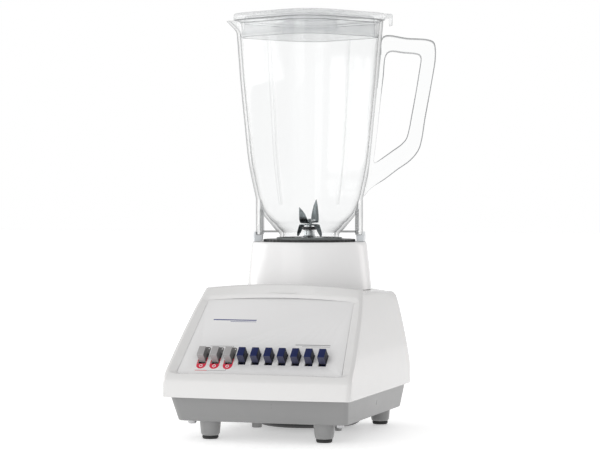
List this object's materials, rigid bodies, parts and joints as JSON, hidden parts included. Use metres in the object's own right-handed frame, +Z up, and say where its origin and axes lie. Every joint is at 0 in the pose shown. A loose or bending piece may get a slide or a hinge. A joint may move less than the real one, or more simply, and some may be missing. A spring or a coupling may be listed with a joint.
{
  "type": "countertop blender",
  "caption": "Countertop blender: sloped push-button motor base, round drive tower, clear square jar with side handle and lift-off lid.",
  "frame": {"origin": "middle of the whole outline seen from above, on the worktop under the feet", "axes": "+Z up, -Y towards the button panel's front, +X to the right where the handle points"},
  "size_m": [0.2214, 0.2528, 0.421],
  "materials": {
    "white_plastic": "moulded, glossy white",
    "panel_grey": "fine satin light grey",
    "tray_grey": "satin mid grey",
    "lug_grey": "smooth cool light grey",
    "black_rubber": "matte black",
    "black_plastic": "satin black",
    "button_grey": "semi-gloss grey",
    "button_navy": "semi-gloss navy blue",
    "clear_plastic": "clear, polished",
    "lid_plastic": "translucent cool grey",
    "stainless": "brushed stainless steel",
    "lamination_iron": "stacked lamination steel",
    "copper_winding": "enamelled copper wire",
    "carbon": "pressed carbon",
    "brass": "machined brass",
    "switch_plastic": "moulded black phenolic"
  },
  "bodies": {
    "base": {"housing": "white_plastic", "base_tray": "tray_grey", "control_panel": "panel_grey", "motor_tower": "white_plastic", "jar_lug_left": "lug_grey", "jar_lug_right": "lug_grey", "foot_pad_front_left": "black_rubber", "foot_pad_front_right": "black_rubber", "foot_pad_rear_left": "black_rubber", "foot_pad_rear_right": "black_rubber", "tray_screw_1": "stainless", "tray_screw_2": "stainless", "tray_screw_3": "stainless", "tray_screw_4": "stainless", "vent_cover": "black_plastic", "cord_inlet": "black_plastic", "switch_block": "switch_plastic", "stator_core": "lamination_iron", "field_coil_left": "copper_winding", "field_coil_right": "copper_winding", "bearing_bracket_upper": "lamination_iron", "bearing_bracket_lower": "lamination_iron", "bearing_upper": "brass", "bearing_lower": "brass", "brush_holder_front": "brass", "brush_holder_rear": "brass", "carbon_brush_front": "carbon", "carbon_brush_rear": "carbon"},
    "rotor": {"armature_shaft": "stainless", "armature_core": "lamination_iron", "armature_winding_upper": "copper_winding", "armature_winding_lower": "copper_winding", "commutator": "copper_winding", "cooling_fan": "black_plastic", "drive_stud": "stainless"},
    "jar_body": {"jar": "clear_plastic", "retaining_nut": "black_plastic", "seal_ring": "black_rubber", "blade_base": "stainless"},
    "blade": {"blade_shaft": "stainless", "blade_washer": "switch_plastic", "blade_upper": "stainless", "blade_lower": "stainless", "blade_nut": "stainless", "drive_socket": "black_plastic"},
    "lid_body": {"lid": "lid_plastic"},
    "cap_body": {"filler_cap": "lid_plastic"},
    "button_body_1": {"button_1": "button_grey"},
    "button_body_2": {"button_2": "button_grey"},
    "button_body_3": {"button_3": "button_grey"},
    "button_body_4": {"button_4": "button_navy"},
    "button_body_5": {"button_5": "button_navy"},
    "button_body_6": {"button_6": "button_navy"},
    "button_body_7": {"button_7": "button_navy"},
    "button_body_8": {"button_8": "button_navy"},
    "button_body_9": {"button_9": "button_navy"},
    "button_body_10": {"button_10": "button_navy"}
  },
  "joints": [
    {"name": "rotor_spin", "type": "hinge", "parent": "base", "child": "rotor", "pos_m": [-0.01458, 0.05063, 0.08], "axis": [0, 0, 1], "continuous": true},
    {"name": "jar_lift", "type": "slide", "parent": "base", "child": "jar_body", "axis": [0, 0, 1], "range_m": [0, 0.09]},
    {"name": "blade_spin", "type": "hinge", "parent": "jar_body", "child": "blade", "pos_m": [-0.01458, 0.05063, 0.203], "axis": [0, 0, 1], "continuous": true},
    {"name": "lid_lift", "type": "slide", "parent": "jar_body", "child": "lid_body", "axis": [0, 0, 1], "range_m": [0, 0.05]},
    {"name": "cap_lift", "type": "slide", "parent": "lid_body", "child": "cap_body", "axis": [0, 0, 1], "range_m": [0, 0.035]},
    {"name": "button_1_press", "type": "slide", "parent": "base", "child": "button_body_1", "axis": [0, 0.6934, -0.7206], "range_m": [0, 0.004], "stiffness_N_per_m": 300, "springref_m": -0.002},
    {"name": "button_2_press", "type": "slide", "parent": "base", "child": "button_body_2", "axis": [0, 0.6934, -0.7206], "range_m": [0, 0.004], "stiffness_N_per_m": 300, "springref_m": -0.002},
    {"name": "button_3_press", "type": "slide", "parent": "base", "child": "button_body_3", "axis": [0, 0.6934, -0.7206], "range_m": [0, 0.004], "stiffness_N_per_m": 300, "springref_m": -0.002},
    {"name": "button_4_press", "type": "slide", "parent": "base", "child": "button_body_4", "axis": [0, 0.6934, -0.7206], "range_m": [0, 0.004], "stiffness_N_per_m": 300, "springref_m": -0.002},
    {"name": "button_5_press", "type": "slide", "parent": "base", "child": "button_body_5", "axis": [0, 0.6934, -0.7206], "range_m": [0, 0.004], "stiffness_N_per_m": 300, "springref_m": -0.002},
    {"name": "button_6_press", "type": "slide", "parent": "base", "child": "button_body_6", "axis": [0, 0.6934, -0.7206], "range_m": [0, 0.004], "stiffness_N_per_m": 300, "springref_m": -0.002},
    {"name": "button_7_press", "type": "slide", "parent": "base", "child": "button_body_7", "axis": [0, 0.6934, -0.7206], "range_m": [0, 0.004], "stiffness_N_per_m": 300, "springref_m": -0.002},
    {"name": "button_8_press", "type": "slide", "parent": "base", "child": "button_body_8", "axis": [0, 0.6934, -0.7206], "range_m": [0, 0.004], "stiffness_N_per_m": 300, "springref_m": -0.002},
    {"name": "button_9_press", "type": "slide", "parent": "base", "child": "button_body_9", "axis": [0, 0.6934, -0.7206], "range_m": [0, 0.004], "stiffness_N_per_m": 300, "springref_m": -0.002},
    {"name": "button_10_press", "type": "slide", "parent": "base", "child": "button_body_10", "axis": [0, 0.6934, -0.7206], "range_m": [0, 0.004], "stiffness_N_per_m": 300, "springref_m": -0.002}
  ],
  "couplings": [
    {"joint": "blade_spin", "follows": "rotor_spin", "ratio": 1}
  ]
}
